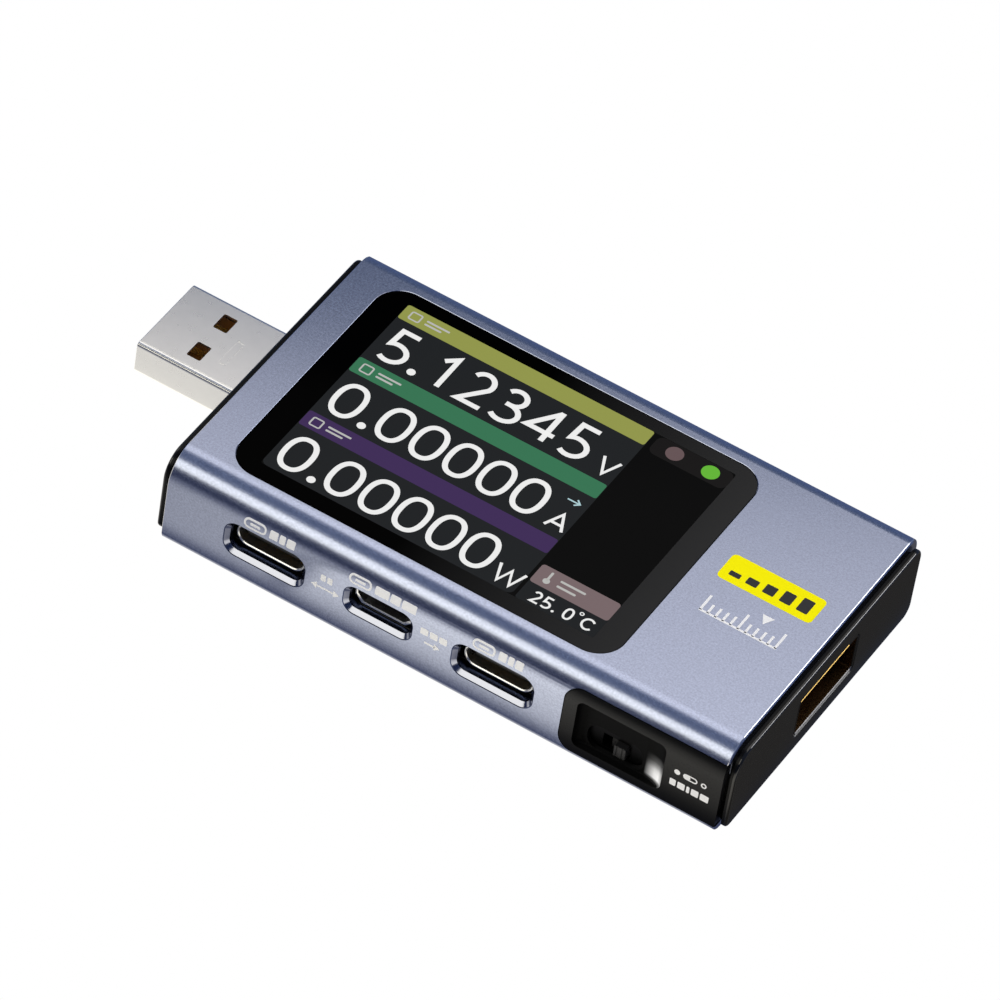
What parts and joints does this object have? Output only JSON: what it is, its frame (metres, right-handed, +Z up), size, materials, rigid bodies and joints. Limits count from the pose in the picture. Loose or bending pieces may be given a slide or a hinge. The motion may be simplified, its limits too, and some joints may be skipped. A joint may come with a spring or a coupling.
{
  "type": "usb power meter",
  "caption": "Pass-through USB voltage and current meter: extruded sleeve, plug and socket ends, side ports, colour display, slide switch and push buttons.",
  "frame": {"origin": "centre of the sleeve's flat underside", "axes": "+X along the length from the plug to the socket, +Z up through the display, -Y towards the side with the row of ports"},
  "size_m": [0.0866, 0.0429, 0.0127],
  "materials": {
    "blue_anodised": "bead-blasted, blue-grey anodised, with bright cut chamfers",
    "black_plastic": "satin moulded black",
    "lens_glass": "polished, black printed behind",
    "adhesive_tape": "matt black foam tape",
    "display_glass": "lit colour display",
    "white_plastic": "satin",
    "carrier_plastic": "matt",
    "board_laminate": "green solder mask",
    "flex_film": "amber film",
    "nickel_plate": "satin nickel plate",
    "orange_plastic": "moulded orange",
    "port_plastic": "moulded black",
    "gold_plate": "gold flash on copper alloy",
    "chip_resin": "matt moulding resin",
    "steel_plate": "plated steel",
    "button_plastic": "satin moulded black"
  },
  "bodies": {
    "meter_body": {"housing_sleeve": "blue_anodised", "plug_end_cap": "black_plastic", "socket_end_cap": "black_plastic", "switch_bezel": "black_plastic", "display_lens": "lens_glass", "lens_adhesive": "adhesive_tape", "display_panel": "display_glass", "display_backlight": "white_plastic", "display_carrier": "carrier_plastic", "display_flex": "flex_film", "main_board": "board_laminate", "flex_connector": "white_plastic", "controller_chip": "chip_resin", "measuring_chip": "chip_resin", "charge_protocol_chip": "chip_resin", "shunt_resistor": "chip_resin", "power_inductor": "chip_resin", "clock_crystal": "steel_plate", "plug_shell": "nickel_plate", "plug_insulator": "orange_plastic", "socket_shell": "nickel_plate", "socket_tongue": "orange_plastic", "usb_c_in_shell": "nickel_plate", "usb_c_in_tongue": "port_plastic", "usb_c_out_shell": "nickel_plate", "usb_c_out_tongue": "port_plastic", "micro_b_in_shell": "nickel_plate", "micro_b_in_tongue": "port_plastic", "data_port_shell": "nickel_plate", "data_port_tongue": "port_plastic", "slide_switch_body": "steel_plate", "board_screw_1": "steel_plate", "plug_contact_1": "gold_plate", "socket_contact_1": "gold_plate", "board_screw_2": "steel_plate", "plug_contact_2": "gold_plate", "socket_contact_2": "gold_plate", "board_screw_3": "steel_plate", "plug_contact_3": "gold_plate", "socket_contact_3": "gold_plate", "board_screw_4": "steel_plate", "plug_contact_4": "gold_plate", "socket_contact_4": "gold_plate", "tact_switch_1": "steel_plate", "tact_switch_2": "steel_plate", "tact_switch_3": "steel_plate"},
    "switch_knob": {"slide_switch_knob": "button_plastic"},
    "button_1": {"button_cap_1": "button_plastic", "tact_plunger_1": "port_plastic"},
    "button_2": {"button_cap_2": "button_plastic", "tact_plunger_2": "port_plastic"},
    "button_3": {"button_cap_3": "button_plastic", "tact_plunger_3": "port_plastic"}
  },
  "joints": [
    {"name": "switch_slide", "type": "slide", "parent": "meter_body", "child": "switch_knob", "axis": [1, 0, 0], "range_m": [-0.0015, 0]},
    {"name": "button_1_press", "type": "slide", "parent": "meter_body", "child": "button_1", "axis": [0, -1, 0], "range_m": [0, 0.0003], "stiffness_N_per_m": 400, "springref_m": -0.0003},
    {"name": "button_2_press", "type": "slide", "parent": "meter_body", "child": "button_2", "axis": [0, -1, 0], "range_m": [0, 0.0003], "stiffness_N_per_m": 400, "springref_m": -0.0003},
    {"name": "button_3_press", "type": "slide", "parent": "meter_body", "child": "button_3", "axis": [0, -1, 0], "range_m": [0, 0.0003], "stiffness_N_per_m": 400, "springref_m": -0.0003}
  ]
}
